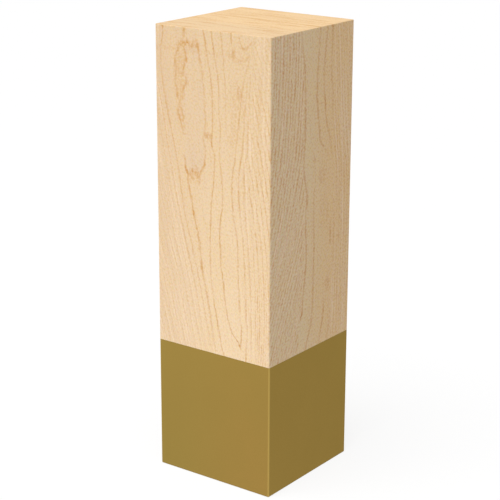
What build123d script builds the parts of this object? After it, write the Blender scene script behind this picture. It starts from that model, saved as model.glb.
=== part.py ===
"""Square furniture leg: a maple block with a brass ferrule over its foot.

The leg stands on the XY plane with its axis on +Z. The foot of the block is cut down to a square
tenon, so that the ferrule's walls finish flush with the wood above, and one countersunk screw
holds the ferrule on from below. All sizes are in millimetres.
"""

import os
from math import radians, tan

from build123d import *

# The leg: one and a half inches square and five inches tall
leg_width = 38.1
leg_height = 127.0
long_edge_radius = 0.4
top_edge_radius = 0.2

# The ferrule: a square tube with a base brazed into its foot
ferrule_height = 38.1
ferrule_wall = 1.6
socket_corner_radius = 1.2
braze_fillet = 0.4
foot_edge_radius = 0.25

# The screw: a countersunk wood screw with a cross recess
screw_diameter = 3.5
screw_length = 25.0
screw_point_angle = 40.0
head_diameter = 7.0
head_rim = 0.3
head_angle = 90.0
recess_span = 4.2
recess_wing = 1.0
recess_depth = 1.9
recess_flank_angle = 26.5

# Fits
glue_gap = 0.1
tenon_end_gap = 0.3
tenon_lead = 0.3
screw_gap = 0.05
head_below_foot = 0.2
metal_over_head = 0.4
pilot_overrun = 1.0

# The screw from its head, just inside the foot, up to its point
head_radius = head_diameter / 2
screw_radius = screw_diameter / 2
head_slope = tan(radians(head_angle / 2))
head_top = head_below_foot + head_rim
neck_z = head_top + (head_radius - screw_radius) / head_slope
point_z = head_below_foot + screw_length
point_start_z = point_z - screw_radius / tan(radians(screw_point_angle / 2))

# The countersink follows the head's cone down to the foot, and the base buries all of it
countersink_radius = head_radius + head_top * head_slope + screw_gap
screw_hole_radius = screw_radius + screw_gap
ferrule_base = (countersink_radius - screw_hole_radius) / head_slope + metal_over_head

# The tenon is the ferrule's socket less the glue gap
socket_width = leg_width - 2 * ferrule_wall
tenon_width = socket_width - 2 * glue_gap
tenon_corner_radius = socket_corner_radius - glue_gap
tenon_end_z = ferrule_base + tenon_end_gap

os.makedirs("parts", exist_ok=True)

# Maple block: the shaft, its tenon and the pilot hole for the screw
with BuildPart() as leg_block:
    with BuildSketch(Plane.XY.offset(ferrule_height)):
        RectangleRounded(leg_width, leg_width, long_edge_radius)
    extrude(amount=leg_height - ferrule_height)
    fillet(leg_block.faces().sort_by(Axis.Z)[-1].edges(), top_edge_radius)

    with BuildSketch(Plane.XY.offset(tenon_end_z)):
        RectangleRounded(tenon_width, tenon_width, tenon_corner_radius)
    extrude(amount=ferrule_height - tenon_end_z)
    tenon_end = leg_block.faces().sort_by(Axis.Z)[0]
    chamfer(tenon_end.edges(), braze_fillet + tenon_lead)

    with Locations(leg_block.faces().sort_by(Axis.Z)[0]):
        Hole(screw_hole_radius, depth=point_z + pilot_overrun - tenon_end_z)

leg_block.part.label = "leg_block"
export_step(leg_block.part, "parts/leg_block.step")

# Brass ferrule: walls, base and the countersunk hole in its foot
with BuildPart() as ferrule:
    with BuildSketch():
        RectangleRounded(leg_width, leg_width, long_edge_radius)
    extrude(amount=ferrule_height)
    foot = ferrule.faces().sort_by(Axis.Z)[0]
    fillet(foot.edges(), foot_edge_radius)

    with BuildSketch(Plane.XY.offset(ferrule_base)):
        RectangleRounded(socket_width, socket_width, socket_corner_radius)
    extrude(amount=ferrule_height - ferrule_base, mode=Mode.SUBTRACT)
    socket_floor = ferrule.faces().filter_by(Plane.XY).sort_by(Axis.Z)[1]
    fillet(socket_floor.edges(), braze_fillet)

    with Locations(Plane.XY.rotated((180, 0, 0))):
        CounterSinkHole(screw_hole_radius, countersink_radius, ferrule_base, head_angle)

ferrule.part.label = "ferrule"
export_step(ferrule.part, "parts/ferrule.step")

# Screw: one turned profile, with the cross recess cut into its head
with BuildPart() as ferrule_screw:
    with BuildSketch(Plane.XZ):
        with BuildLine():
            Polyline(
                (0, head_below_foot),
                (head_radius, head_below_foot),
                (head_radius, head_top),
                (screw_radius, neck_z),
                (screw_radius, point_start_z),
                (0, point_z),
                close=True,
            )
        make_face()
    revolve(axis=Axis.Z)

    recess_floor_span = recess_span - 2 * recess_depth * tan(radians(recess_flank_angle))
    for wing_plane in (Plane.XZ, Plane.YZ):
        with BuildSketch(wing_plane):
            with BuildLine():
                Polyline(
                    (-recess_span / 2, head_below_foot),
                    (recess_span / 2, head_below_foot),
                    (recess_floor_span / 2, head_below_foot + recess_depth),
                    (-recess_floor_span / 2, head_below_foot + recess_depth),
                    close=True,
                )
            make_face()
        extrude(amount=recess_wing / 2, both=True, mode=Mode.SUBTRACT)

ferrule_screw.part.label = "ferrule_screw"
export_step(ferrule_screw.part, "parts/ferrule_screw.step")
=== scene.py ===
# %% [markdown]
# # A square maple leg with a brass ferrule
#
# The real object is a short furniture leg: a block of pale hard maple, square in section, whose foot is
# capped with satin brass. The solids already have their true shape and size, so this lesson is about
# surfaces. It draws the growth figure of the maple on each face, gives the brass its satin, cuts a real
# thread on the one hidden screw, and ends with plain studio light.

from math import cos, pi, radians, sin

import bmesh
import bpy
from mathutils import Matrix, Vector


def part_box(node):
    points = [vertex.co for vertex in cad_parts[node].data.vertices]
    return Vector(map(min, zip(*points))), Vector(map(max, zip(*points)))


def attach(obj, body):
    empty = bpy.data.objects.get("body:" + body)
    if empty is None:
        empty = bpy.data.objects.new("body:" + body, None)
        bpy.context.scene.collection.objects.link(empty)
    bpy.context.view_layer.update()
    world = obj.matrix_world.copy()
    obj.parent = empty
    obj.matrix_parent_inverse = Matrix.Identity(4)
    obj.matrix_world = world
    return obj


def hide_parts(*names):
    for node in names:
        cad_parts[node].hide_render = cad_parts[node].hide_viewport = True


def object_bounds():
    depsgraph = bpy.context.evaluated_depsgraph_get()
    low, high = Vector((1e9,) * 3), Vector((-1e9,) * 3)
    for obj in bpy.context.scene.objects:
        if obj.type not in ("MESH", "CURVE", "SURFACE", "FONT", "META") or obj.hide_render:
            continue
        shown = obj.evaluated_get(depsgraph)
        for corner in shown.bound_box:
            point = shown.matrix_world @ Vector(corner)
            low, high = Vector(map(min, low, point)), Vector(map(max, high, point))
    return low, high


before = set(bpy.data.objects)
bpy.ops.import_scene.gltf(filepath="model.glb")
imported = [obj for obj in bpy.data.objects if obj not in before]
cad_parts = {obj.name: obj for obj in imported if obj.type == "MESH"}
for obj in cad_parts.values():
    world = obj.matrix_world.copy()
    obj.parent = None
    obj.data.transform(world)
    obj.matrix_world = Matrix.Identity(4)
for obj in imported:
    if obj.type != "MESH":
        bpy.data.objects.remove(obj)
cad_low, cad_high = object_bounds()

MM = 0.001
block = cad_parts["leg_block"]
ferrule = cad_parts["ferrule"]
leg_top = cad_high.z / MM
half_width = cad_high.x / MM
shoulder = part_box("ferrule")[1].z / MM
print("leg top", round(leg_top, 2), "half width", round(half_width, 2), "shoulder", round(shoulder, 2))

# %% [markdown]
# ## Shader nodes as formulas
#
# A shader is a net of small nodes. Each could be made and linked by hand in the editor, but a wood figure
# with many lines is easier to read as formulas. So a field stands for one output socket, a value that varies
# over the surface, and its plus, minus and times signs each add a Math node. A surface holds one node tree
# and hands out the fields to start from: places in millimetres, and noise.

# %% Fields
NOISE_LOW = 0.35
NOISE_MIDDLE = 0.5
NOISE_HIGH = 0.65


class Field:
    """A value that varies over a surface. Arithmetic on it adds Math nodes."""

    def __init__(self, surface, socket):
        self.surface = surface
        self.socket = socket

    def math(self, operation, *others):
        return self.surface.math(operation, self, *others)

    def __add__(self, other):
        return self.math("ADD", other)

    def __sub__(self, other):
        return self.math("SUBTRACT", other)

    def __rsub__(self, other):
        return self.surface.math("SUBTRACT", other, self)

    def __mul__(self, other):
        return self.math("MULTIPLY", other)

    def __truediv__(self, other):
        return self.math("DIVIDE", other)

    def __abs__(self):
        return self.math("ABSOLUTE")

    def above(self, level):
        """1 where the field is above the level, 0 elsewhere."""
        return self.math("GREATER_THAN", level)

    def fade(self, low, high, start=0.0, end=1.0):
        """A smooth step from start to end while the field goes from low to high."""
        values = (self, low, high, start, end)
        return self.surface.field("MapRange", values, interpolation_type="SMOOTHSTEP")

    def patches(self, start=0.0, end=1.0):
        """Noise turned into soft patches between two values."""
        return self.fade(NOISE_LOW, NOISE_HIGH, start, end)

    def spread(self, reach):
        """Noise from 0 to 1 turned into a push of about as much either way."""
        return (self - NOISE_MIDDLE) * (2 * reach)


print("noise turns into patches between", NOISE_LOW, "and", NOISE_HIGH)

# %% Surfaces
PLAIN_DETAIL = 2.0
FINE_DETAIL = 3.0
# A Mix node has sockets for every kind of data. These are its factor and its two numbers or two colours, and
# the output that gives the mixed colour.
NUMBER_SOCKETS = (0, 2, 3)
COLOUR_SOCKETS = (0, 6, 7)
COLOUR_RESULT = 2


class Surface:
    """The node tree of a material or world. A node's values are fields, numbers or colours."""

    def __init__(self, owner):
        owner.use_nodes = True
        self.owner = owner
        self.tree = owner.node_tree
        self.tree.nodes.clear()

    def node(self, kind, values=(), **settings):
        node = self.tree.nodes.new("ShaderNode" + kind)
        for key, value in settings.items():
            setattr(node, key, value)
        listed = values.items() if isinstance(values, dict) else enumerate(values)
        for key, value in listed:
            if isinstance(value, Field):
                self.tree.links.new(value.socket, node.inputs[key])
            else:
                node.inputs[key].default_value = value
        return node

    def field(self, kind, values=(), output=0, **settings):
        return Field(self, self.node(kind, values, **settings).outputs[output])

    def math(self, operation, *values):
        return self.field("Math", values, operation=operation)

    def vector(self, operation, *values):
        return self.field("VectorMath", values, operation=operation)

    def place(self):
        """The place on the surface and its X, Y and Z, in millimetres."""
        metres = self.field("TexCoord", output="Object")
        spot = self.vector("MULTIPLY", metres, (1 / MM, 1 / MM, 1 / MM))
        return [spot] + [self.field("SeparateXYZ", [spot], output) for output in range(3)]

    def join(self, x, y, z):
        return self.field("CombineXYZ", (x, y, z))

    def noise(self, spot, per_mm, detail=PLAIN_DETAIL, output="Fac"):
        """Cloudy noise from 0 to 1, with so many cells per millimetre along X, Y and Z."""
        values = {"Vector": self.vector("MULTIPLY", spot, per_mm), "Scale": 1.0, "Detail": detail}
        return self.field("TexNoise", values, output)

    def most(self, first, *others):
        for other in others:
            first = self.math("MAXIMUM", first, other)
        return first

    def least(self, first, *others):
        for other in others:
            first = self.math("MINIMUM", first, other)
        return first

    def choose(self, switch, if_off, if_on):
        """The first number where the switch is 0, the second where it is 1."""
        return self.field("Mix", dict(zip(NUMBER_SOCKETS, (switch, if_off, if_on))))

    def tint(self, amount, first, second):
        """The first colour, turned into the second as the amount goes from 0 to 1."""
        values = dict(zip(COLOUR_SOCKETS, (amount, first, second)))
        return self.field("Mix", values, COLOUR_RESULT, data_type="RGBA")

    def finish(self, colour, roughness, relief, depth, **plain):
        """The shader itself; relief is a field and depth its height in millimetres."""
        normal = self.field("Bump", {"Height": relief, "Distance": depth * MM})
        values = {name.replace("_", " "): value for name, value in plain.items()}
        values.update({"Base Color": colour, "Roughness": roughness, "Normal": normal})
        self.node("OutputMaterial", {"Surface": self.field("BsdfPrincipled", values)})
        print(self.owner.name, "has", len(self.tree.nodes), "nodes")
        return self.owner


print("plain noise has detail", PLAIN_DETAIL, "and fine noise", FINE_DETAIL)

# %% [markdown]
# ## Drawing a growth line
#
# Each year a maple lays down one thin darker line of late wood. On a sawn face that line shows as a stroke
# that wanders, fades and darkens. Bands of noise would give such lines too, but always somewhere else.
# Here a line is drawn as with a pencil: a Float Curve holds its path, a second one its darkness, and the
# stroke is dark where the surface lies within a fraction of a millimetre of that path.

# %% Curves and strokes
LINE_WIDTH = 0.42
LEAST_REACH = 0.001


def drawn_curve(along, points):
    """A curve drawn through (along, value) points, level beyond its ends."""
    points = sorted(points)
    start, end = points[0][0], points[-1][0]
    values = [value for _, value in points]
    low = min(values)
    reach = max(max(values) - low, LEAST_REACH)
    node = along.surface.node("FloatCurve", {"Value": (along - start) / (end - start)})
    node.mapping.extend = "HORIZONTAL"
    handles = node.mapping.curves[0].points
    handles[0].location = (0.0, (values[0] - low) / reach)
    handles[1].location = (1.0, (values[-1] - low) / reach)
    for place, value in points[1:-1]:
        handles.new((place - start) / (end - start), (value - low) / reach)
    node.mapping.update()
    return Field(along.surface, node.outputs[0]) * reach + low


def path_of(along, line):
    return drawn_curve(along, [(place, across) for place, across, _ in line])


def near(distance, width):
    """1 where a distance is nothing, fading to 0 where it is the width."""
    return abs(distance).fade(0.0, width, 1.0, 0.0)


def stroke(along, across, line, width=LINE_WIDTH):
    """A growth line through (along, across, darkness) points."""
    darkness = drawn_curve(along, [(place, dark) for place, _, dark in line])
    return near(across - path_of(along, line), width) * darkness


print("a growth line fades out", LINE_WIDTH, "mm from its path")

# %% Rings and clouds
RING_WIDTH = 0.3
HALF_SPACING = 0.5
CLOUD_CORE = 0.1


def rings(count, width=RING_WIDTH):
    """Fine lines at every whole count; width is their share of the spacing."""
    return count.math("PINGPONG", HALF_SPACING).fade(0.0, width, 1.0, 0.0)


def cloud(across, up, centre, size):
    """A soft oval stain."""
    right = (across - centre[0]) / size[0]
    high = (up - centre[1]) / size[1]
    return (right * right + high * high).fade(CLOUD_CORE, 1.0, 1.0, 0.0)


print("rings fade out at", RING_WIDTH, "of their spacing")

# %% [markdown]
# ## The flat-sawn face
#
# Front and back are cut along the rings, so they show the broad figure: a tall arch, slanting lines that
# close up on the left, a feather of fine lines on the right, and one pale tongue with a ragged stain round
# it. Places are millimetres above the floor and across the face, followed by how dark the line is there.

# %% Growth lines of the flat-sawn face
ARCH_LEFT = [
    (130, -0.9, 0.4), (125, 0.1, 0.8), (121, 0.7, 0.45), (113, 2.1, 0.5), (106, 2.2, 0.2), (102, 2.7, 0.4),
    (95, 2.4, 0.2), (90, 2.9, 0.35), (81, 3.35, 0.4), (77.5, 2.8, 0.65), (72.5, 2.4, 0.6), (67, 2.7, 0.7),
    (64, 2.7, 0.4), (61.5, 3.2, 0.7), (53, 4.3, 0.5), (46.8, 5.9, 0.65), (44.5, 7.2, 0.75),
    (42.8, 8.8, 0.65), (41, 9.6, 0.0),
]
ARCH_RIGHT = [
    (130, 13.9, 0.0), (122, 12.6, 0.15), (115, 10.4, 0.25), (106, 9.0, 0.3), (96, 7.8, 0.3),
    (93.3, 7.5, 0.4), (90.5, 6.8, 0.4), (86, 6.5, 0.5), (78.5, 7.0, 0.45), (71, 8.3, 0.45), (61.5, 8.6, 0.5),
    (53, 9.1, 0.5), (50, 9.3, 0.2), (47.5, 9.7, 0.45), (45, 9.7, 0.6), (42.8, 9.4, 0.6), (41.5, 9.2, 0.0),
]
MIDDLE_LINE = [
    (130, -4.2, 0.45), (125.5, -2.6, 0.6), (120, -1.6, 0.5), (115, -0.5, 0.5), (110, 0.0, 0.55),
    (99.5, 0.0, 0.5), (97.5, -0.2, 0.75), (94, 0.7, 0.5), (89, 0.65, 0.55), (79.5, -0.4, 0.6),
    (69, -0.8, 0.55), (64, -0.8, 0.6), (55, 0.0, 0.3), (52, 0.5, 0.5), (47.5, 1.5, 0.6), (40, 3.2, 0.55),
    (37, 5.2, 0.5),
]
UPPER_LINE = [
    (130, 2.3, 0.4), (121, 3.6, 0.55), (117, 3.9, 0.3), (113, 4.4, 0.35), (104, 4.5, 0.1), (100, 4.6, 0.0),
]
CROWN_LINE = [
    (130, 6.0, 0.6), (124.6, 6.4, 0.6), (123.6, 6.6, 0.1), (122, 7.0, 0.3), (120.5, 7.6, 0.0),
]
DARK_LINE = [
    (93, -9.6, 0.0), (90.5, -9.1, 0.75), (87.5, -8.5, 0.9), (84, -7.9, 0.8), (80.5, -7.1, 0.85),
    (77.3, -6.5, 0.9), (74, -5.7, 0.6), (70.3, -4.8, 0.65), (67, -4.4, 0.45), (63.5, -3.9, 0.65),
    (60.5, -3.5, 0.5), (57, -2.6, 0.45), (51.5, -1.4, 0.4), (45, -0.2, 0.3), (38, 1.0, 0.25),
]
INNER_SLANT = [
    (130, -16.8, 0.4), (125, -16.5, 0.6), (121, -17.1, 0.45), (116, -17.1, 0.45), (105, -15.3, 0.5),
    (92, -12.2, 0.4), (85, -11.0, 0.5), (77, -9.6, 0.4), (64, -6.1, 0.4), (50, -2.9, 0.3), (38, -0.3, 0.2),
]
OUTER_SLANT = [
    (112, -18.6, 0.0), (106, -17.2, 0.35), (95, -15.1, 0.4), (78, -11.6, 0.3), (66, -8.6, 0.4),
    (58, -6.5, 0.35), (48, -4.4, 0.25), (38, -2.4, 0.2),
]
TONGUE_RIGHT = [
    (124.3, -5.3, 0.0), (123, -4.9, 0.8), (119, -4.0, 0.5), (115, -3.1, 0.35), (106, -2.3, 0.3),
    (102, -2.25, 0.4), (98.5, -2.9, 0.35), (95, -2.4, 0.3), (92, -2.5, 0.55), (90, -3.2, 0.85),
    (88.5, -4.0, 0.85), (87, -4.6, 0.0),
]
FINE_LINES = [ARCH_LEFT, ARCH_RIGHT, MIDDLE_LINE, UPPER_LINE, CROWN_LINE, INNER_SLANT, OUTER_SLANT]
BROAD_LINES = [DARK_LINE, TONGUE_RIGHT]
BROAD_WIDTH = 0.58
print("flat-sawn face:", len(FINE_LINES), "fine growth lines and", len(BROAD_LINES), "broad ones")

# %% [markdown]
# ## The stained tongue
#
# High on the face two dark strands part and meet again like a braid, beside a greyish tongue whose ends are
# torn and stained. Such mineral streaks are common in maple. A picture could carry them, but it would blur
# close up. Here the strands lie a drawn gap either side of a drawn middle, and noise that is stretched along
# the grain tears the ends.

# %% The braid: two strands that part and meet again
STRAND_WIDTHS = (0.55, 1.1)
STAIN_SOFTNESS = 0.3
STAIN_DARKNESS = 0.38
WORN_REACH = (-0.8, 0.5)
WORN_DARKNESS = 0.5
BRAID_CENTRE = [
    (130, -9.5), (125, -9.3), (122, -10.1), (119, -10.3), (115.5, -10.8), (112.3, -10.3), (111.2, -10.7),
    (106.7, -10.8), (103.7, -10.6), (101.3, -10.3), (99, -9.7), (95, -9.4),
]
BRAID_GAP = [
    (122.3, 0.0), (120.5, 1.3), (119, 1.7), (117, 1.55), (115.5, 1.35), (112.3, 1.65), (111.2, 1.1),
    (109.5, 0.9), (108, 0.6), (106.7, 0.05), (105, 0.5), (103.7, 0.85), (102.3, 0.5), (101.3, 0.0),
]
BRAID_DARKNESS = [
    (128, 0.4), (126, 0.75), (119, 0.85), (115.8, 1.0), (112, 0.75), (108, 0.85), (104, 0.75), (99.3, 0.85),
    (98, 0.0),
]


def braid(wood, across, up, torn, flecks):
    """How dark the strands are, and the faint stain between them."""
    off_centre = abs(across - drawn_curve(up, BRAID_CENTRE))
    gap = drawn_curve(up, BRAID_GAP)
    strands = near(off_centre - gap, flecks.patches(*STRAND_WIDTHS))
    stain = (gap - off_centre).fade(-STAIN_SOFTNESS, STAIN_SOFTNESS, 0.0, STAIN_DARKNESS)
    worn = torn.fade(*WORN_REACH, 1.0, WORN_DARKNESS)
    return wood.most(strands, stain) * drawn_curve(up, BRAID_DARKNESS) * worn


print("braid: its middle is drawn through", len(BRAID_CENTRE), "points, its gap through", len(BRAID_GAP))

# %% The tongue: a pale, greyish patch with torn, stained ends
TONGUE_LEFT = [(124, -9.4), (112, -9.2), (108, -10.2), (97, -10.0), (92, -9.6), (86, -8.6)]
TONGUE_FOOT = [(-9, 87.6), (-7.6, 87.4), (-6.2, 88.4), (-4.6, 87.4)]
TONGUE_HEAD = [(-12.2, 120.8), (-10.6, 121.8), (-8.8, 123.2), (-7.6, 122.5), (-5, 123.2)]
TONGUE_EDGE = (-0.3, 0.8)
TONGUE_MIDDLE = 105.5
GREY_REACH = (8.0, 17.0)
LEAST_GREY = 0.3
FOOT_SIDES = (-8.7, -4.0)
HEAD_SIDES = (-11.8, -4.8)
FRINGE_REACH = 2.2
FRINGE_SOFTNESS = 0.6
FRINGE_DARKNESS = (0.25, 0.85)


def fringe(across, up, torn, mottle, end, sides):
    """A torn end: a row of flecks with teeth along the grain."""
    after = across.fade(sides[0] - FRINGE_SOFTNESS, sides[0] + FRINGE_SOFTNESS)
    before = across.fade(sides[1] - FRINGE_SOFTNESS, sides[1] + FRINGE_SOFTNESS, 1.0, 0.0)
    return near(up + torn - end, FRINGE_REACH) * after * before * mottle


def tongue(wood, across, up, torn, flecks):
    """How dark the two ends are, and how grey the tongue between them is."""
    mottle = flecks.patches(*FRINGE_DARKNESS)
    foot = drawn_curve(across, TONGUE_FOOT)
    head = drawn_curve(across, TONGUE_HEAD)
    ends = wood.most(
        fringe(across, up, torn, mottle, foot, FOOT_SIDES),
        fringe(across, up, torn, mottle, head, HEAD_SIDES))
    inside = wood.least(
        across - drawn_curve(up, TONGUE_LEFT), path_of(up, TONGUE_RIGHT) - across,
        up - foot + torn, head - up + torn)
    from_middle = abs(up - TONGUE_MIDDLE)
    return ends, inside.fade(*TONGUE_EDGE) * from_middle.fade(*GREY_REACH, LEAST_GREY, 1.0)


print("tongue: its stained ends fade out", FRINGE_REACH, "mm from their torn edge")

# %% [markdown]
# ## The feather
#
# Right of the arch many fine lines lean away from a spine, like the barbs of a feather. Drawing each one
# would take dozens of strokes. But they are about evenly spaced, so here a count grows across the face, one
# for each line, and a fine ring is drawn wherever it is a whole number.

# %% The feather: lines that lean away from a spine, right of the arch
SPINE = [(130, 13.0), (97, 13.0), (91, 11.9), (86, 12.0), (79, 12.5), (66, 13.7), (58, 14.2), (38, 14.3)]
FEATHER_LEAN = [
    (130, 0.0), (120, 4.0), (110, 7.5), (100, 10.3), (92, 12.3), (85, 13.8), (78, 15.1), (70, 16.2),
    (55, 17.1), (38, 16.8),
]
FEATHER_START = -2.8
FEATHER_SPACING = 1.45
LEAST_FEATHER_WIDTH = 0.5
FADING_ABOVE = (106.0, 122.0)
FADED_DARKNESS = 0.4
DOUBLED_UP_TO = (56.0, 68.0)
DOUBLED_DARKNESS = 0.8
BARB_START = 0.40
BARB_SPACING = 0.32
BARB_CLEAR = (0.8, 1.6)
DASH_CELLS = (0.9, 0.9, 0.16)
DASH_DARKNESS = (0.18, 0.55)


def feather(wood, spot, across, up, past_arch):
    """Barbs between arch and spine, and leaning lines beyond the spine."""
    past_spine = across - drawn_curve(up, SPINE)
    share = past_arch / wood.most(past_arch - past_spine, LEAST_FEATHER_WIDTH)
    barbs = rings((share - BARB_START) / BARB_SPACING) * past_arch.fade(*BARB_CLEAR)
    count = (across - drawn_curve(up, FEATHER_LEAN) - FEATHER_START) / FEATHER_SPACING
    between = rings(count + HALF_SPACING) * up.fade(*DOUBLED_UP_TO, DOUBLED_DARKNESS, 0.0)
    leaning = wood.most(rings(count) * up.fade(*FADING_ABOVE, 1.0, FADED_DARKNESS), between)
    dashes = wood.noise(spot, DASH_CELLS, FINE_DETAIL).patches(*DASH_DARKNESS)
    return wood.choose(past_spine.above(0.0), barbs, leaning) * dashes


print("feather: leaning lines", FEATHER_SPACING, "mm apart")

# %% The flat-sawn figure
V_MARKS = [
    [
        (8.4, 127.5, 0.3), (9.2, 124.8, 0.4), (10, 123.3, 0.42), (10.8, 123.2, 0.42), (11.9, 124.1, 0.4),
        (13, 125.3, 0),
    ],
    [(7.2, 121.0, 0.2), (9, 119.9, 0.3), (10.5, 120.3, 0.3), (12, 121.5, 0.2), (12.8, 122.6, 0)],
]
V_WIDTH = 0.8
CLOUDS = [
    ((-1.4, 99.0), (1.9, 1.2), 0.5), ((8.8, 111.5), (1.1, 2.6), 0.25), ((7.1, 121.5), (0.9, 1.8), 0.25),
    ((8.8, 122.0), (4.5, 5.5), 0.09), ((8.0, 108.0), (3.5, 9.0), 0.12), ((9.2, 42.3), (0.6, 0.5), 0.2),
    ((7.0, 99.5), (2.5, 3.5), 0.14), ((-6.5, 86.5), (2.5, 1.8), 0.16),
]
TEAR_CELLS = (1.8, 1.8, 0.4)
TEAR_REACH = 2.4
RAGGED_SHARE = 0.2
FLECK_CELLS = (1.6, 1.6, 0.9)
SLANT_SPACING = 1.8
SLANT_WIDTH = 0.2
SLANT_CLEAR = (0.6, 1.4)
SLANT_DARKNESS = 0.2
PALE_LEFT = (-4.0, 1.0)
PALE_RIGHT = (0.0, 3.0)
PALE_RISE = (60.0, 105.0)
PALE_AT_TOP = 0.78
FACE_EDGE = 20.0
FLOW_WIDTH = 30.0


def flat_sawn_figure(wood, spot, across, up):
    """How dark, how pale and how grey the face is, and across once more as the grain flows."""
    torn = wood.noise(spot, TEAR_CELLS, FINE_DETAIL).spread(TEAR_REACH)
    ragged = across + torn * RAGGED_SHARE
    past_arch = across - path_of(up, ARCH_RIGHT)
    slant = path_of(up, OUTER_SLANT)
    past_slant = slant - across
    flecks = wood.noise(spot, FLECK_CELLS)
    tongue_ends, grey = tongue(wood, across, up, torn, flecks)
    side_slants = rings(past_slant / SLANT_SPACING, SLANT_WIDTH) * past_slant.fade(*SLANT_CLEAR)
    dark = wood.most(
        *[stroke(up, across, line) for line in FINE_LINES],
        *[stroke(up, ragged, line, BROAD_WIDTH) for line in BROAD_LINES],
        *[stroke(across, up, mark, V_WIDTH) for mark in V_MARKS],
        braid(wood, ragged, up, torn, flecks), tongue_ends,
        feather(wood, spot, across, up, past_arch),
        side_slants * SLANT_DARKNESS)
    for centre, size, depth in CLOUDS:
        dark = dark + cloud(ragged, up, centre, size) * depth
    pale = wood.most(past_slant.fade(*PALE_LEFT), past_arch.fade(*PALE_RIGHT))
    pale = pale * up.fade(*PALE_RISE, 1.0, PALE_AT_TOP)
    flow = (across - slant) / (FACE_EDGE - slant) * FLOW_WIDTH
    return dark, pale, grey, flow


print("flat-sawn figure:", len(V_MARKS), "V marks and", len(CLOUDS), "clouds besides its lines")

# %% [markdown]
# ## The rift-sawn side
#
# The two other faces cross the rings at a slant, so they show straighter, closer lines: a crowd of dashes
# that leans over towards the foot, a plain band, a few strong lines in the middle and faint ones at the
# right. They are drawn in the same way.

# %% Growth lines of the side faces
BAND_LEFT = [
    (130, -6.2, 0.2), (122.5, -5.2, 0.35), (116, -4.0, 0.6), (112, -3.75, 0.45), (100, -3.5, 0.6),
    (91, -4.05, 0.45), (87.5, -3.5, 0.55), (84, -2.8, 0.5), (81.5, -2.4, 0.8), (78, -2.7, 0.3),
    (75, -2.8, 0.3), (72.8, -2.75, 0.55), (65, -2.35, 0.5), (60.3, -2.8, 0.55), (52, -3.8, 0.5),
    (49.7, -4.0, 0.7), (48.3, -4.5, 0.85), (47.2, -4.8, 0.0),
]
BAND_RIGHT = [
    (130, 3.2, 0.3), (119, 2.3, 0.4), (114.5, 1.9, 0.4), (110.8, 1.75, 0.65), (106.5, 2.0, 0.6),
    (100, 3.1, 0.4), (97.5, 3.4, 0.45), (94, 5.8, 0.3), (91, 8.0, 0.0),
]
SECOND_LINE = [
    (130, 6.9, 0.35), (121.5, 5.6, 0.55), (113.5, 5.0, 0.45), (110, 5.2, 0.4), (107, 5.7, 0.75),
    (103, 6.1, 0.5), (96.5, 8.2, 0.35), (90, 9.6, 0.0),
]
THIRD_LINE = [
    (130, 8.8, 0.5), (126, 8.75, 0.55), (121, 8.6, 0.35), (115, 8.5, 0.35), (107, 9.35, 0.35),
    (101, 9.3, 0.0),
]
LOWER_LINE = [
    (84, 1.2, 0.0), (80, 0.8, 0.3), (73, 1.1, 0.35), (66, 1.35, 0.45), (60, 1.15, 0.4), (55, 1.1, 0.55),
    (45.5, 0.4, 0.55), (43, -0.5, 0.55), (38, -2.3, 0.45), (35, -3.5, 0.4),
]
FOOT_LINE = [
    (51, 6.7, 0.0), (49.5, 6.6, 0.4), (46.5, 6.3, 0.6), (44, 5.8, 0.55), (41, 5.0, 0.4), (36, 3.0, 0.3),
]
CORNER_LINE = [(47, 9.8, 0.0), (44, 9.5, 0.35), (41, 8.9, 0.35), (36, 7.4, 0.3)]
SHORT_LINE = [(74, 9.4, 0.0), (71, 9.0, 0.4), (69, 9.25, 0.65), (66, 8.9, 0.0)]
SIDE_LINES = [
    BAND_LEFT, BAND_RIGHT, SECOND_LINE, THIRD_LINE, LOWER_LINE, FOOT_LINE, CORNER_LINE, SHORT_LINE,
]
SIDE_LINE_WIDTH = 0.7
SIDE_LINE_DARKNESS = 0.9
print("side face:", len(SIDE_LINES), "growth lines")

# %% The side figure
SIDE_CLOUDS = [
    ((5.0, 86.5), (3.0, 3.0), 0.18), ((6.0, 76.0), (3.0, 7.0), 0.12), ((8.0, 55.0), (1.5, 3.0), 0.25),
    ((1.0, 91.5), (1.0, 1.2), 0.2), ((13.5, 67.5), (1.0, 1.0), 0.25), ((13.0, 50.0), (5.0, 1.2), 0.12),
]
CROWD_LEAN = [
    (130, 0.0), (110, -0.8), (95, -2.5), (85, -4.8), (75, -7.8), (65, -11.6), (55, -16.0), (38, -23.5),
]
CROWD_SPACING = 1.35
CROWD_WIDTH = 0.48
CROWD_CLEAR = (0.4, 1.2)
CROWD_RISE = (70.0, 95.0)
CROWD_DARKNESS = (0.46, 0.62)
RIGHT_LEAN = [(130, -1.6), (112, 0.0), (104, 0.6), (94, 1.9), (84, 3.0), (70, 3.4), (38, 2.6)]
RIGHT_SPACING = 1.25
RIGHT_START = (9.0, 11.0)
RIGHT_DARKNESS = 0.3
WANDER_CELLS = (0.3, 0.3, 0.05)
WANDER_REACH = 0.7
SIDE_DASH_CELLS = (1.0, 1.0, 0.11)
SIDE_DASH_DARKNESS = (0.4, 1.0)
BAND_EDGE = (0.0, 1.0)


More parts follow.
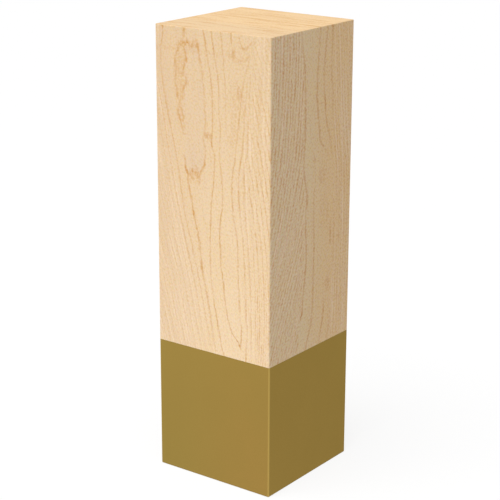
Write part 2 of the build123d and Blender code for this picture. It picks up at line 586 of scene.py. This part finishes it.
def side_figure(wood, spot, across, up):
    """How dark and how pale the face is, and across once more as the grain flows."""
    before_band = path_of(up, BAND_LEFT) - across
    at_right = across.fade(*RIGHT_START)
    wander = wood.noise(spot, WANDER_CELLS).spread(WANDER_REACH)
    crowd_flow = across - drawn_curve(up, CROWD_LEAN)
    crowd = rings(crowd_flow / CROWD_SPACING + wander, CROWD_WIDTH) * before_band.fade(*CROWD_CLEAR)
    crowd = crowd * up.fade(*CROWD_RISE, *CROWD_DARKNESS)
    right_flow = across - drawn_curve(up, RIGHT_LEAN)
    right_lines = rings(right_flow / RIGHT_SPACING + wander) * at_right * RIGHT_DARKNESS
    dashes = wood.noise(spot, SIDE_DASH_CELLS, FINE_DETAIL).patches(*SIDE_DASH_DARKNESS)
    strokes = [stroke(up, across, line, SIDE_LINE_WIDTH) for line in SIDE_LINES]
    dark = wood.most(wood.most(crowd, right_lines) * dashes, wood.most(*strokes) * SIDE_LINE_DARKNESS)
    for centre, size, depth in SIDE_CLOUDS:
        dark = dark + cloud(across, up, centre, size) * depth
    pale = wood.most(at_right, before_band.fade(*BAND_EDGE))
    return dark, pale, wood.choose(before_band.above(0.0), right_flow, crowd_flow)


print("side figure:", len(SIDE_CLOUDS), "clouds, and crowded lines", CROWD_SPACING, "mm apart")

# %% [markdown]
# ## The end grain
#
# The top is sawn square across the fibres. Their cut ends show as fine pores, in soft rows that follow the
# rings, and a few of the side's growth lines run on over the edge. Rows and pores are noise, stretched along
# the rings. The lines are strokes once more, along X this time.

# %% The end figure
END_LINES = [
    [(-19, 3.8, 0.3), (0, 3.3, 0.4), (19, 3.0, 0.3)],
    [(-19, 7.6, 0.2), (0, 7.2, 0.15), (19, 6.5, 0.25)],
    [(-19, 9.6, 0.15), (19, 8.8, 0.2)],
    [(-19, -5.4, 0.2), (5, -5.8, 0.15), (19, -6.0, 0.3)],
]
END_LINE_WIDTH = 0.9
ROW_CELLS = (0.12, 0.6, 0.1)
ROW_DETAIL = 4.0
ROW_NOISE = (0.45, 0.72)
ROW_DARKNESS = 0.36
PORE_CELLS = (1.3, 3.2, 1.0)
PORE_DARKNESS = 0.95
PORE_MIDDLE = 0.37


def end_figure(wood, spot, x, y):
    """How dark the sawn end is."""
    rows = wood.noise(spot, ROW_CELLS, ROW_DETAIL).fade(*ROW_NOISE, 0.0, ROW_DARKNESS)
    pores = wood.noise(spot, PORE_CELLS) * PORE_DARKNESS - PORE_MIDDLE
    lines = wood.most(*[stroke(x, y, line, END_LINE_WIDTH) for line in END_LINES])
    return rows + lines + pores


print("sawn end:", len(END_LINES), "growth lines")

# %% [markdown]
# ## The maple itself
#
# The colour starts from a cream ground that drifts between pinkish and yellowish, because sapwood is never
# quite even. Late wood is mixed in where a figure is dark. Short rays and fibres add the fine speckle that
# tells maple from birch, and follow the flow of the grain. The back and the left face use the same two
# figures turned end over end, so that all four corners meet without a copy showing beside its twin.

# %% Which figure each face takes
END_SKIN = 0.08
JITTER_CELLS = (1.3, 1.3, 0.6)
JITTER_REACH = 0.32
SIDE_JITTER = 0.7
maple = Surface(bpy.data.materials.new("maple_satin"))
spot, x, y, z = maple.place()
is_end = z.above(leg_top - END_SKIN)
is_side = (abs(x) - abs(y)).above(0.0) * (1.0 - is_end)
is_back = y.above(0.0)
is_left = 1.0 - x.above(0.0)
# Back and left run the other way across. Added to a height, turned_over swaps the block's top and shoulder.
turned_over = z * -2.0 + (leg_top + shoulder)
front_across = x * (1.0 - is_back * 2.0)
front_up = z + is_back * turned_over
side_across = y * (1.0 - is_left * 2.0)
side_up = z + is_left * turned_over
jitter = maple.noise(spot, JITTER_CELLS, FINE_DETAIL).spread(JITTER_REACH)
front_dark, front_pale, front_grey, front_flow = flat_sawn_figure(
    maple, spot, front_across + jitter, front_up + jitter)
side_dark, side_pale, side_flow = side_figure(maple, spot, side_across + jitter * SIDE_JITTER, side_up)
end_dark = end_figure(maple, spot, x + jitter, y + jitter)
print("three figures wired:", len(maple.tree.nodes), "nodes so far")

# %% Fibres, streaks and colour drift
FIBRE_CELLS = (2.0, 1.0, 1.6)
STREAK_CELLS = (1.3, 1.0, 0.05)
STREAK_DARKNESS = 0.3
PALE_CELLS = (1.7, 1.0, 0.035)
PALE_NOISE = (0.50, 0.64)
DRIFT_CELLS = (0.10, 1.0, 0.04)
BREAK_CELLS = (0.9, 0.9, 0.5)
BROKEN_DARKNESS = (0.55, 1.0)
SPECKLE = 1.1
SIDE_SPECKLE = 0.4
SPECKLE_MIDDLE = 0.085
# Faces that meet at an edge read slices of the noise that lie far apart, so their speckle differs.
SIDE_STEP = 50.0
BACK_STEP = 20.0
LEFT_STEP = 30.0
face_number = is_side * SIDE_STEP + is_back * BACK_STEP + is_left * LEFT_STEP
flow = maple.join(maple.choose(is_side, front_flow, side_flow), face_number, z)
fibres = maple.noise(flow, FIBRE_CELLS)
streaks = maple.noise(flow, STREAK_CELLS) * STREAK_DARKNESS
pale_streaks = maple.noise(flow, PALE_CELLS).fade(*PALE_NOISE)
drift = maple.noise(flow, DRIFT_CELLS)
broken = maple.noise(spot, BREAK_CELLS).patches(*BROKEN_DARKNESS)
speckle = (fibres - NOISE_MIDDLE) * (is_side * SIDE_SPECKLE + SPECKLE)
dark = maple.choose(is_side, front_dark, side_dark) * broken + speckle + streaks - SPECKLE_MIDDLE
dark = maple.choose(is_end, dark, end_dark)
pale = maple.choose(is_side, front_pale, side_pale) * pale_streaks
print("fibres and streaks wired:", len(maple.tree.nodes), "nodes so far")

# %% Ground colours of the maple
UPPER_GROUND = (0.828, 0.622, 0.392, 1.0)
LOWER_GROUND_PAINTED_LIGHTER = (0.919, 0.711, 0.471, 1.0)
GROUND_RISE = (40.0, 125.0)
LEFT_SHADE = (0.740, 0.534, 0.347, 1.0)
SHADE_REACH = (-19.0, 5.0)
SHADE_AMOUNT = 0.5
TONGUE_GREY = (0.748, 0.570, 0.427, 1.0)
GREY_AMOUNT = 0.5
SIDE_GROUND = (0.838, 0.675, 0.436, 1.0)
SIDE_WARM = (0.865, 0.619, 0.344, 1.0)
WARM_REACH = (-12.0, 13.0)
END_GROUND = (0.910, 0.664, 0.387, 1.0)
END_FRONT = (0.870, 0.649, 0.400, 1.0)
END_FRONT_REACH = (-10.0, -4.0)
# The front is paler low down, and the turned-over back high up: partly the maple's own tone, partly painted
# light from the bright floor.
flat_colour = maple.tint(front_up.fade(*GROUND_RISE), LOWER_GROUND_PAINTED_LIGHTER, UPPER_GROUND)
flat_colour = maple.tint(front_across.fade(*SHADE_REACH, SHADE_AMOUNT, 0.0), flat_colour, LEFT_SHADE)
flat_colour = maple.tint(front_grey * GREY_AMOUNT, flat_colour, TONGUE_GREY)
side_colour = maple.tint(side_across.fade(*WARM_REACH), SIDE_GROUND, SIDE_WARM)
end_colour = maple.tint(y.fade(*END_FRONT_REACH), END_FRONT, END_GROUND)
colour = maple.tint(is_side, flat_colour, side_colour)
print("ground colours wired:", len(maple.tree.nodes), "nodes so far")

# %% Drift, pale streaks and late wood
YELLOWISH = (0.860, 0.640, 0.385, 1.0)
DRIFT_NOISE = (0.4, 0.7)
DRIFT_AMOUNT = 0.38
PALE_STREAK = (0.930, 0.730, 0.520, 1.0)
PALE_AMOUNT = 0.7
LATE_WOOD = (0.672, 0.336, 0.088, 1.0)
SIDE_LATE_WOOD = (0.650, 0.258, 0.072, 1.0)
colour = maple.tint(drift.fade(*DRIFT_NOISE, 0.0, DRIFT_AMOUNT), colour, YELLOWISH)
colour = maple.tint(pale * PALE_AMOUNT, colour, PALE_STREAK)
colour = maple.tint(is_end, colour, end_colour)
colour = maple.tint(dark, colour, maple.tint(is_side, LATE_WOOD, SIDE_LATE_WOOD))
print("late wood wired:", len(maple.tree.nodes), "nodes so far")

# %% Play of hue and surface of the maple
HUE_CELLS = (2.2, 2.2, 2.0)
HUE_SHIFT = (40.0, 40.0, 40.0)
HUE_SPREAD = (0.21, 0.0, 0.70)
HUE_LOWEST = (0.895, 1.0, 0.65)
MAPLE_ROUGHNESS = 0.58
FIBRE_ROUGHNESS = 0.12
FIBRE_DEPTH = 0.0025
MAPLE_GLOSS = 0.1
hue = maple.noise(maple.vector("ADD", spot, HUE_SHIFT), HUE_CELLS, output="Color")
colour = maple.vector("MULTIPLY", colour, maple.vector("MULTIPLY_ADD", hue, HUE_SPREAD, HUE_LOWEST))
roughness = fibres * FIBRE_ROUGHNESS + MAPLE_ROUGHNESS
block.data.materials[0] = maple.finish(
    colour, roughness, fibres, FIBRE_DEPTH, Specular_IOR_Level=MAPLE_GLOSS)

# %% [markdown]
# ## Satin brass
#
# The ferrule is a square brass tube with a base brazed in, rubbed down to an even satin. A satin is a mirror
# broken up by scratches too fine to see, so the shader is a metal with middling roughness. A fine grit and
# faint brushing keep it from looking like plastic. Front and back drift from a cooler to a warmer tone, the
# sides keep a plain tone painted a little apart to match their light, and painted shade darkens the brass
# towards the wood. A painted highlight brightens the long edges, where hands also rub them.

# %% Tones of the brass
BRASS = (0.339, 0.228, 0.057, 1.0)
COOL_BRASS = (0.311, 0.2215, 0.0550, 1.0)
WARM_BRASS = (0.353, 0.2215, 0.0575, 1.0)
FOOT_SKIN = 0.2
brass = Surface(bpy.data.materials.new("brass_satin"))
spot, x, y, z = brass.place()
on_flat_face = (abs(y) - abs(x)).above(0.0) * z.above(FOOT_SKIN)
flat_tone = brass.tint(x.fade(-half_width, half_width), COOL_BRASS, WARM_BRASS)
# The sides and the foot keep plain BRASS, a little brighter than the front and back tones: a painted
# difference matched to how each face is lit.
colour = brass.tint(on_flat_face, BRASS, flat_tone)
print("brass tones wired:", len(brass.tree.nodes), "nodes so far")

# %% Painted shade at the rim, grit, and rubbed edges with a painted highlight
DULL_AND_SHADED_BRASS = (0.305, 0.206, 0.0505, 1.0)
RUBBED_AND_HIGHLIT_BRASS = (0.48, 0.33, 0.092, 1.0)
RIM_SHADE = 0.2
FLAT_RIM_SHADE = 0.35
PATCH_CELLS = (0.10, 0.10, 0.07)
PATCH_DULLING = 0.2
GRIT_CELLS = (4.0, 4.0, 4.0)
GRIT_DULLING = 0.5
EDGE_HIGHLIGHT_START = 0.50
EDGE_HIGHLIGHT_FULL = 0.15
grit = brass.noise(spot, GRIT_CELLS)
# Painted shade: the brass is painted darker towards the wood, more on front and back.
painted_rim_shade = z.fade(0.0, shoulder) * (on_flat_face * FLAT_RIM_SHADE + RIM_SHADE)
# dulled holds real dulled patches together with the painted shade at the rim.
dulled = brass.noise(spot, PATCH_CELLS).patches(0.0, PATCH_DULLING) + painted_rim_shade
# A painted highlight brightens all four long edges, standing in for light caught on their rounding; hands
# also rub the brass there.
rubbed_and_highlit = brass.least(abs(x), abs(y)).fade(half_width - EDGE_HIGHLIGHT_START, half_width - EDGE_HIGHLIGHT_FULL)
colour = brass.tint(dulled, colour, DULL_AND_SHADED_BRASS)
colour = brass.tint(grit.patches(0.0, GRIT_DULLING), colour, DULL_AND_SHADED_BRASS)
colour = brass.tint(rubbed_and_highlit, colour, RUBBED_AND_HIGHLIT_BRASS)
print("dulling and rubbing wired:", len(brass.tree.nodes), "nodes so far")

# %% Surface of the brass
BRUSH_CELLS = (0.25, 0.25, 7.0)
BRUSH_SHARE = 0.4
BRASS_ROUGHNESS = 0.52
GRIT_ROUGHNESS = 0.08
BRASS_DEPTH = 0.002
EDGE_TINT = (0.75, 0.68, 0.55, 1.0)
roughness = grit * GRIT_ROUGHNESS + BRASS_ROUGHNESS
relief = grit + brass.noise(spot, BRUSH_CELLS) * BRUSH_SHARE
ferrule.data.materials[0] = brass.finish(
    colour, roughness, relief, BRASS_DEPTH, Metallic=1.0, Specular_Tint=EDGE_TINT)

# %% [markdown]
# ## The screw under the foot
#
# One countersunk wood screw holds the ferrule on from below. Only its head shows, and only from underneath,
# but the piece is worth making whole. Its solid is a plain shank as thick as the thread, so this piece takes
# its place: a core and head spun from one profile, a ridge spun upwards into a helix, and a cross cut in.

# %% Sizes of the screw
screw_low, screw_high = (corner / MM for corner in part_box("ferrule_screw"))
HEAD_RADIUS = screw_high.x
HEAD_RIM = 0.3
SHANK_RADIUS = 1.75
CORE_RADIUS = 1.15
SMOOTH_SHANK = 8.0
POINT_LENGTH = 4.8
AROUND = 48
Z_AXIS = (0, 0, 1)
ORIGIN = (0, 0, 0)
rim_z = screw_low.z + HEAD_RIM
neck_z = rim_z + HEAD_RADIUS - SHANK_RADIUS
thread_z = screw_low.z + SMOOTH_SHANK
tip_z = screw_high.z
print("screw head", round(HEAD_RADIUS, 2), "mm, tip at", round(tip_z, 2), "mm")

# %% Core and head
THREAD_RUNOUT = 0.5
form = bmesh.new()
profile = [
    (HEAD_RADIUS, screw_low.z), (HEAD_RADIUS, rim_z), (SHANK_RADIUS, neck_z), (SHANK_RADIUS, thread_z),
    (CORE_RADIUS, thread_z + THREAD_RUNOUT), (CORE_RADIUS, tip_z - POINT_LENGTH), (CORE_RADIUS, tip_z),
]
corners = [form.verts.new((radius * MM, 0.0, height * MM)) for radius, height in profile]
outline = [form.edges.new(pair) for pair in zip(corners, corners[1:])]
bmesh.ops.spin(
    form, geom=corners + outline, cent=ORIGIN, axis=Z_AXIS, angle=2 * pi, steps=AROUND, use_merge=True)
print("core and head:", len(form.faces), "faces")

# %% Thread
THREAD_PITCH = 1.4
THREAD_BASE = 0.75
THREAD_SINK = 0.05
THREAD_ROOT = CORE_RADIUS - THREAD_SINK
ridge_profile = [(THREAD_ROOT, 0.0), (SHANK_RADIUS, THREAD_BASE / 2), (THREAD_ROOT, THREAD_BASE)]
ridge = [form.verts.new((radius * MM, 0.0, (thread_z + rise) * MM)) for radius, rise in ridge_profile]
ridge_edges = [form.edges.new((ridge[i - 1], ridge[i])) for i in range(len(ridge))]
turns = (tip_z - thread_z - THREAD_BASE) / THREAD_PITCH
steps = int(turns * AROUND)
climb = (0, 0, THREAD_PITCH * turns / steps * MM)
helix = bmesh.ops.spin(
    form, geom=ridge + ridge_edges, cent=ORIGIN, axis=Z_AXIS, angle=2 * pi * turns, steps=steps, dvec=climb)
ridge_end = [item for item in helix["geom_last"] if isinstance(item, bmesh.types.BMVert)]
for end in (ridge, ridge_end):
    bmesh.ops.contextual_create(form, geom=end)
print("thread:", round(turns, 1), "turns")

# %% Point
MERGE_DISTANCE = 0.001
for vert in form.verts:
    to_tip = (tip_z - vert.co.z / MM) / POINT_LENGTH
    taper = max(0.0, min(1.0, to_tip))
    vert.co.x *= taper
    vert.co.y *= taper
bmesh.ops.remove_doubles(form, verts=form.verts, dist=MERGE_DISTANCE * MM)
print("with its point:", len(form.faces), "faces")

# %% Cross recess
RECESS_SPAN = 4.2
RECESS_WING = 1.0
RECESS_DEPTH = 1.9
RECESS_FLOOR = 2.3
head_face_z = screw_low.z * MM
rim = [
    edge for edge in form.edges
    if edge.is_boundary and all(abs(vert.co.z - head_face_z) < MERGE_DISTANCE * MM for vert in edge.verts)
]
reach = RECESS_SPAN / 2 * MM
wing = RECESS_WING / 2 * MM
cross = []
for quarter in range(4):
    turn = Matrix.Rotation(quarter * pi / 2, 3, "Z")
    for corner in ((reach, -wing), (reach, wing), (wing, wing)):
        cross.append(form.verts.new(turn @ Vector((*corner, head_face_z))))
mouth = form.faces.new(cross)
walls = bmesh.ops.extrude_face_region(form, geom=[mouth])
recess_floor = [item for item in walls["geom"] if isinstance(item, bmesh.types.BMVert)]
bmesh.ops.translate(form, vec=(0, 0, RECESS_DEPTH * MM), verts=recess_floor)
for axis in (0, 1):
    wing_ends = [vert for vert in recess_floor if abs(vert.co[axis]) > 2 * wing]
    for vert in wing_ends:
        vert.co[axis] *= RECESS_FLOOR / RECESS_SPAN
lid = [face for face in form.faces if set(face.verts) == set(cross)]
bmesh.ops.delete(form, geom=lid, context="FACES_ONLY")
lip = [edge for edge in form.edges if edge.is_boundary and set(edge.verts) <= set(cross)]
bmesh.ops.triangle_fill(form, edges=rim + lip, use_beauty=True)
bmesh.ops.recalc_face_normals(form, faces=form.faces)
print("recess cut,", sum(edge.is_boundary for edge in form.edges), "open edges left")

# %% The finished screw
SHARP_ANGLE = 35.0
for face in form.faces:
    face.smooth = True
for edge in form.edges:
    edge.smooth = edge.calc_face_angle(0.0) < radians(SHARP_ANGLE)
screw_mesh = bpy.data.meshes.new("ferrule_screw_threaded")
form.to_mesh(screw_mesh)
form.free()
screw = bpy.data.objects.new("ferrule_screw_threaded", screw_mesh)
bpy.context.collection.objects.link(screw)
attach(screw, "root")
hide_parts("ferrule_screw")
print("screw:", len(screw_mesh.polygons), "faces")

# %% [markdown]
# ## Bright steel
#
# A screw like this is cold-headed from bright wire and its head is turned, which leaves fine rings round the
# axis. The rings are noise that only changes with the distance from the axis and with height, so they close
# on themselves without a seam.

# %% Colour and surface of the steel
BRIGHT_STEEL = (0.54, 0.52, 0.48, 1.0)
DULL_STEEL = (0.46, 0.44, 0.40, 1.0)
DULL_CELLS = (0.5, 0.5, 0.5)
TURNING_CELLS = (9.0, 1.0, 9.0)
STEEL_ROUGHNESS = 0.32
DULL_ROUGHNESS = 0.15
TURNING_DEPTH = 0.004
steel = Surface(bpy.data.materials.new("steel_bright"))
spot, x, y, z = steel.place()
dulled = steel.noise(spot, DULL_CELLS, FINE_DETAIL).patches()
from_axis = (x * x + y * y).math("SQRT")
turning = steel.noise(steel.join(from_axis, 0.0, z), TURNING_CELLS)
colour = steel.tint(dulled, BRIGHT_STEEL, DULL_STEEL)
roughness = dulled * DULL_ROUGHNESS + STEEL_ROUGHNESS
screw_mesh.materials.append(steel.finish(colour, roughness, turning, TURNING_DEPTH, Metallic=1.0))

# %% [markdown]
# ## Floor and world
#
# The leg stands on a plain white sheet. Seen by the camera or in the metal, the sheet mostly glows white by
# itself and only a small part of it takes light, so the shadow stays faint. For all other light it is plain
# white paper, which lifts the sides of the leg from below. The world is white in the same way.

# %% The sheet
FLOOR_HALF = 6.0
FLOOR_DROP = 0.1 * MM
form = bmesh.new()
bmesh.ops.create_grid(form, x_segments=1, y_segments=1, size=FLOOR_HALF)
bmesh.ops.translate(form, vec=(0, 0, cad_low.z - FLOOR_DROP), verts=form.verts)
floor_mesh = bpy.data.meshes.new("floor")
form.to_mesh(floor_mesh)
form.free()
floor = bpy.data.objects.new("floor", floor_mesh)
bpy.context.collection.objects.link(floor)
print("floor", 2 * FLOOR_HALF, "m square")

# %% White paper
GLOW_SHARE = 0.85
WHITE = (1.0, 1.0, 1.0, 1.0)
PAPER = (0.78, 0.78, 0.78, 1.0)


def seen_directly(surface):
    """1 for light that goes to the camera, in a mirror or through glass."""
    rays = ("Is Camera Ray", "Is Glossy Ray", "Is Transmission Ray")
    return surface.most(*[surface.field("LightPath", output=ray) for ray in rays])


sheet = Surface(bpy.data.materials.new("white_sheet"))
paper = sheet.field("BsdfDiffuse", {"Color": PAPER})
shaded = sheet.field("BsdfDiffuse", {"Color": WHITE})
glow = sheet.field("Emission", {"Color": WHITE, "Strength": 1.0})
backdrop = sheet.field("MixShader", (GLOW_SHARE, shaded, glow))
sheet.node("OutputMaterial", {"Surface": sheet.field("MixShader", (seen_directly(sheet), paper, backdrop))})
floor_mesh.materials.append(sheet.owner)
print("sheet wired, its glow is", GLOW_SHARE, "of what the camera sees")

# %% White world
AMBIENT = 0.275
studio = Surface(bpy.data.worlds.new("studio"))
strength = studio.choose(seen_directly(studio), AMBIENT, 1.0)
studio.node("OutputWorld", {"Surface": studio.field("Background", {"Color": WHITE, "Strength": strength})})
bpy.context.scene.world = studio.owner
print("world wired, it lights the leg with", AMBIENT)

# %% [markdown]
# ## Lamps
#
# The light is that of a plain product table. A broad key from high up in front makes the top the brightest
# face, and a softbox at the left lifts the flat-sawn face above the side. One lamp could do it with stronger
# fill, but then the three faces of a square leg come out too much alike to read as a solid.


# %% Key lamp
def direction(azimuth, elevation):
    """From the leg outwards: azimuth 0 is the front, 90 the right."""
    a, e = radians(azimuth), radians(elevation)
    return Vector((sin(a) * cos(e), -cos(a) * cos(e), sin(e)))


KEY_LEVEL = 0.767
KEY_SPREAD = 40.0
KEY_AZIMUTH = 0.0
KEY_ELEVATION = 72.0
towards_key = direction(KEY_AZIMUTH, KEY_ELEVATION)
key_data = bpy.data.lights.new("key", "SUN")
key_data.energy = KEY_LEVEL * pi
key_data.angle = radians(KEY_SPREAD)
key = bpy.data.objects.new("key", key_data)
key.rotation_euler = towards_key.to_track_quat("Z", "Y").to_euler()
bpy.context.collection.objects.link(key)
print("key lamp", round(key_data.energy, 2))

# %% Softbox
SOFTBOX_WATTS = 1.19
SOFTBOX_SIZE = 0.28
SOFTBOX_DISTANCE = 0.7
SOFTBOX_AZIMUTH = -36.5
SOFTBOX_ELEVATION = 12.0
towards_softbox = direction(SOFTBOX_AZIMUTH, SOFTBOX_ELEVATION)
softbox_data = bpy.data.lights.new("softbox", "AREA")
softbox_data.energy = SOFTBOX_WATTS
softbox_data.size = SOFTBOX_SIZE
softbox = bpy.data.objects.new("softbox", softbox_data)
softbox.location = towards_softbox * SOFTBOX_DISTANCE
softbox.rotation_euler = towards_softbox.to_track_quat("Z", "Y").to_euler()
bpy.context.collection.objects.link(softbox)
print("softbox", SOFTBOX_WATTS, "W")

# %% [markdown]
# ## Camera
#
# The camera stands a little above the leg, turned towards its front right corner, as on a catalogue page. It
# could be aimed by a Track To constraint, but its three axes worked out here also take the small roll, and
# nothing is left live in the file.

# %% Place and aim the camera
CAMERA_AZIMUTH = 36.51
CAMERA_ELEVATION = 17.22
CAMERA_ROLL = 0.17
CAMERA_DISTANCE = 432.2 * MM
AIM_RIGHT = -1.30 * MM
AIM_UP = -0.44 * MM
LENS = 111.4
SENSOR = 36.0
RIGHT_ANGLE = 90.0
backward = direction(CAMERA_AZIMUTH, CAMERA_ELEVATION)
level = direction(CAMERA_AZIMUTH + RIGHT_ANGLE, 0.0)
rightward = Matrix.Rotation(radians(CAMERA_ROLL), 3, backward) @ level
upward = backward.cross(rightward)
middle = (cad_low + cad_high) / 2
eye = middle + AIM_RIGHT * rightward + AIM_UP * upward + CAMERA_DISTANCE * backward

camera_data = bpy.data.cameras.new("camera")
camera_data.sensor_width = SENSOR
camera_data.lens = LENS
camera = bpy.data.objects.new("camera", camera_data)
turned = Matrix((rightward, upward, backward)).transposed().to_4x4()
camera.matrix_world = Matrix.Translation(eye) @ turned
bpy.context.collection.objects.link(camera)
bpy.context.scene.camera = camera
bpy.context.scene.view_settings.view_transform = "Standard"
print("camera at", [round(value, 3) for value in eye])
